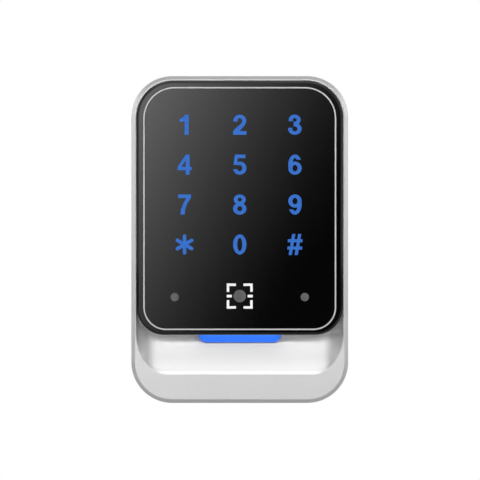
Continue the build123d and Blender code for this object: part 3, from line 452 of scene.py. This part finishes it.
core_colours = (
    ("red", from_screen(184, 36, 30)),
    ("black", grey(36)),
    ("green", from_screen(34, 128, 58)),
    ("white", grey(226)),
    ("blue", from_screen(38, 74, 170)),
    ("yellow", from_screen(222, 186, 40)),
)
tip_paths = []
for index, (word, colour) in enumerate(core_colours):
    x = (index - (len(core_colours) - 1) / 2) * CORE_PITCH
    inner = [(x, SLEEVE_START, CABLE_Z), (x, -WIRE_LEVEL + WIRE_BEND, CABLE_Z)]
    for k in range(1, BEND_STEPS + 1):
        turn = math.radians(90) * k / BEND_STEPS
        inner.append((x, -WIRE_LEVEL + WIRE_BEND - WIRE_BEND * math.sin(turn),
                      CABLE_Z - WIRE_BEND + WIRE_BEND * math.cos(turn)))
    inner.append((x, -WIRE_LEVEL, PLUG_TOP))
    angle = math.radians(60) * index + math.radians(30)
    outer = []
    for k in range(CORE_STEPS + 1):
        share = k / CORE_STEPS
        y = SLEEVE_END + (CORE_END - SLEEVE_END) * share
        spread = CORE_RING * (1 + FAN_OUT * share * share)
        droop = sag_at(SLEEVE_END) * (1 + FAN_DROOP * share) - FAN_WANDER * share * math.sin(index * 2.1)
        outer.append((spread * math.cos(angle), y, CABLE_Z + droop + spread * math.sin(angle)))
    core = tube("wire_" + word, [inner, outer], CORE_R,
                solid_look("core_" + word, colour, 0.4, 0.0, 2600, 0.006, 0.1, 0.0), 14)
    follow_cable(core, "cable_wires")
    last, before = Vector(outer[-1]), Vector(outer[-2])
    ahead = (last - before).normalized()
    tip_paths.append([last + ahead * TIP_LONG * k / TIP_STEPS for k in range(TIP_STEPS + 1)])
tips = tube("wire_tips", tip_paths, CORE_R * TIP_SHARE, looks["spring_steel"], 12)
follow_cable(tips, "cable_wires")

# ------------------------------------------------------------------ stage
floor_mesh = bpy.data.meshes.new("floor")
span = 6.0
floor_drop = 0.03
floor_level = rest_low.z - floor_drop
floor_mesh.from_pydata(
    [(-span, -span, floor_level), (span, -span, floor_level),
     (span, span, floor_level), (-span, span, floor_level)],
    [], [(0, 1, 2, 3)],
)
floor = bpy.data.objects.new("floor", floor_mesh)
bpy.context.scene.collection.objects.link(floor)
floor_look = Look("floor_pale")
path = floor_look.node("ShaderNodeLightPath")
pale = floor_look.node("ShaderNodeBsdfDiffuse", Color=(0.5, 0.5, 0.5, 1))
glow = floor_look.node("ShaderNodeEmission", Color=WHITE, Strength=1.0)
choice = floor_look.node("ShaderNodeMixShader")
floor_look.link(path.outputs["Is Camera Ray"], choice.inputs[0])
floor_look.link(pale.outputs[0], choice.inputs[1])
floor_look.link(glow.outputs[0], choice.inputs[2])
floor_look.link(choice.outputs[0], floor_look.out.inputs["Surface"])
floor_mesh.materials.append(floor_look.material)


def area(name, place, target, size, power):
    data = bpy.data.lights.new(name, "AREA")
    data.shape = "RECTANGLE"
    data.size, data.size_y = size
    data.energy = power
    lamp = bpy.data.objects.new(name, data)
    lamp.location = place
    lamp.rotation_euler = (Vector(target) - Vector(place)).to_track_quat("-Z", "Y").to_euler()
    bpy.context.scene.collection.objects.link(lamp)
    return lamp


for lamp in (
    area("front_light", (0.0, -0.97, 0.25), (0, 0, -0.02), (0.8, 0.13), 7.8),
    area("left_light", (-0.8, -0.35, 0.0), (0, 0, 0), (0.5, 0.9), 0.6),
    area("right_light", (0.8, -0.35, 0.0), (0, 0, 0), (0.5, 0.9), 0.9),
    area("back_light", (0.3, 1.0, 0.6), (0, 0, 0), (0.8, 0.8), 6.0),
):
    lamp.visible_glossy = False

# The room: what a reflection shows depends on its direction, and everything else gets an even fill.
world = bpy.data.worlds.new("studio")
world.use_nodes = True
world.node_tree.nodes.clear()
room = Look("room_helper")
room.tree = world.node_tree
room.out = room.node("ShaderNodeOutputWorld")
room.coords = room.node("ShaderNodeTexCoord").outputs["Generated"]
ahead = room.math("MULTIPLY", room.axis("Y"), -1.0)
up = room.axis("Z")
overhead = room.math("ADD", room.math("MULTIPLY", ahead, 0.25), room.math("MULTIPLY", up, 0.968))
behind = room.soft_step(ahead, -0.1, -0.5, 1.0)
not_above = room.math("SUBTRACT", 1.0, room.soft_step(up, 0.25, 0.7, 1.0))
mirrored = room.math("ADD", 0.28, room.soft_step(ahead, 0.80, 0.97, 0.6))
mirrored = room.math("ADD", mirrored, room.soft_step(overhead, 0.75, 0.95, 1.0))
mirrored = room.math("ADD", mirrored, room.math("MULTIPLY", room.math("MULTIPLY", behind, not_above), 0.75))
lip_ring = room.math("MULTIPLY", room.soft_step(ahead, 0.52, 0.68), room.soft_step(ahead, 0.86, 0.72))
lip_ring = room.math("MULTIPLY", lip_ring, room.soft_step(up, -0.25, 0.15, 1.35))
mirrored = room.math("ADD", mirrored, lip_ring)
ray_kind = room.node("ShaderNodeLightPath")
even_fill = room.node("ShaderNodeBackground", Color=WHITE, Strength=0.35)
seen_white = room.node("ShaderNodeBackground", Color=WHITE, Strength=1.0)
mirrored_room = room.node("ShaderNodeBackground", Color=WHITE)
room.link(mirrored, mirrored_room.inputs["Strength"])
by_gloss = room.node("ShaderNodeMixShader")
by_camera = room.node("ShaderNodeMixShader")
room.link(ray_kind.outputs["Is Glossy Ray"], by_gloss.inputs[0])
room.link(even_fill.outputs[0], by_gloss.inputs[1])
room.link(mirrored_room.outputs[0], by_gloss.inputs[2])
room.link(ray_kind.outputs["Is Camera Ray"], by_camera.inputs[0])
room.link(by_gloss.outputs[0], by_camera.inputs[1])
room.link(seen_white.outputs[0], by_camera.inputs[2])
room.link(by_camera.outputs[0], room.out.inputs["Surface"])
bpy.context.scene.world = world
bpy.data.materials.remove(room.material)

# ------------------------------------------------------------------ camera
FRAME_HIGH = 0.18523
LENS = 200.0
SENSOR = 36.0
camera_data = bpy.data.cameras.new("camera")
camera_data.lens = LENS
camera_data.sensor_width = SENSOR
camera_data.clip_start = 0.05
camera_data.clip_end = 50
camera = bpy.data.objects.new("camera", camera_data)
camera_distance = FRAME_HIGH * LENS / SENSOR
camera.location = (0.0001, -(camera_distance + 0.0235), -0.00018)
camera.rotation_euler = (math.radians(90), 0, 0)
bpy.context.scene.collection.objects.link(camera)
bpy.context.scene.camera = camera
bpy.context.scene.view_settings.view_transform = "Standard"

# Gradient card around the camera: only mirror reflections see it, and it gives the glass its soft
# gradient, brightest at the top left.
CARD_HALF = 0.13
CARD_LOW = -0.12
CARD_HIGH = 0.17
CARD_ACROSS = -6.86
CARD_UP = 3.80
CARD_LEVEL = 0.482
CARD_MOST = 1.5
CARD_CURVE = 2.1
CARD_POWER = 1.46
card_y = camera.location.y
card_mesh = bpy.data.meshes.new("gradient_card")
card_mesh.from_pydata(
    [(-CARD_HALF, card_y, CARD_LOW), (CARD_HALF, card_y, CARD_LOW),
     (CARD_HALF, card_y, CARD_HIGH), (-CARD_HALF, card_y, CARD_HIGH)],
    [], [(0, 1, 2, 3)],
)
card = bpy.data.objects.new("gradient_card", card_mesh)
bpy.context.scene.collection.objects.link(card)
card.visible_camera = False
card.visible_diffuse = False
card.visible_shadow = False
card.visible_transmission = False
card_look = Look("card_gradient")
slope = card_look.math("ADD", card_look.math("MULTIPLY", card_look.axis("X"), CARD_ACROSS), CARD_LEVEL)
slope = card_look.math("ADD", slope, card_look.math("MULTIPLY", card_look.axis("Z"), CARD_UP))
slope = card_look.math("MINIMUM", card_look.math("MAXIMUM", slope, 0.0), CARD_MOST)
bright = card_look.math("MULTIPLY", card_look.math("POWER", slope, CARD_CURVE), CARD_POWER)
card_glow = card_look.node("ShaderNodeEmission", Color=WHITE)
card_look.link(bright, card_glow.inputs["Strength"])
card_look.link(card_glow.outputs[0], card_look.out.inputs["Surface"])
card_mesh.materials.append(card_look.material)
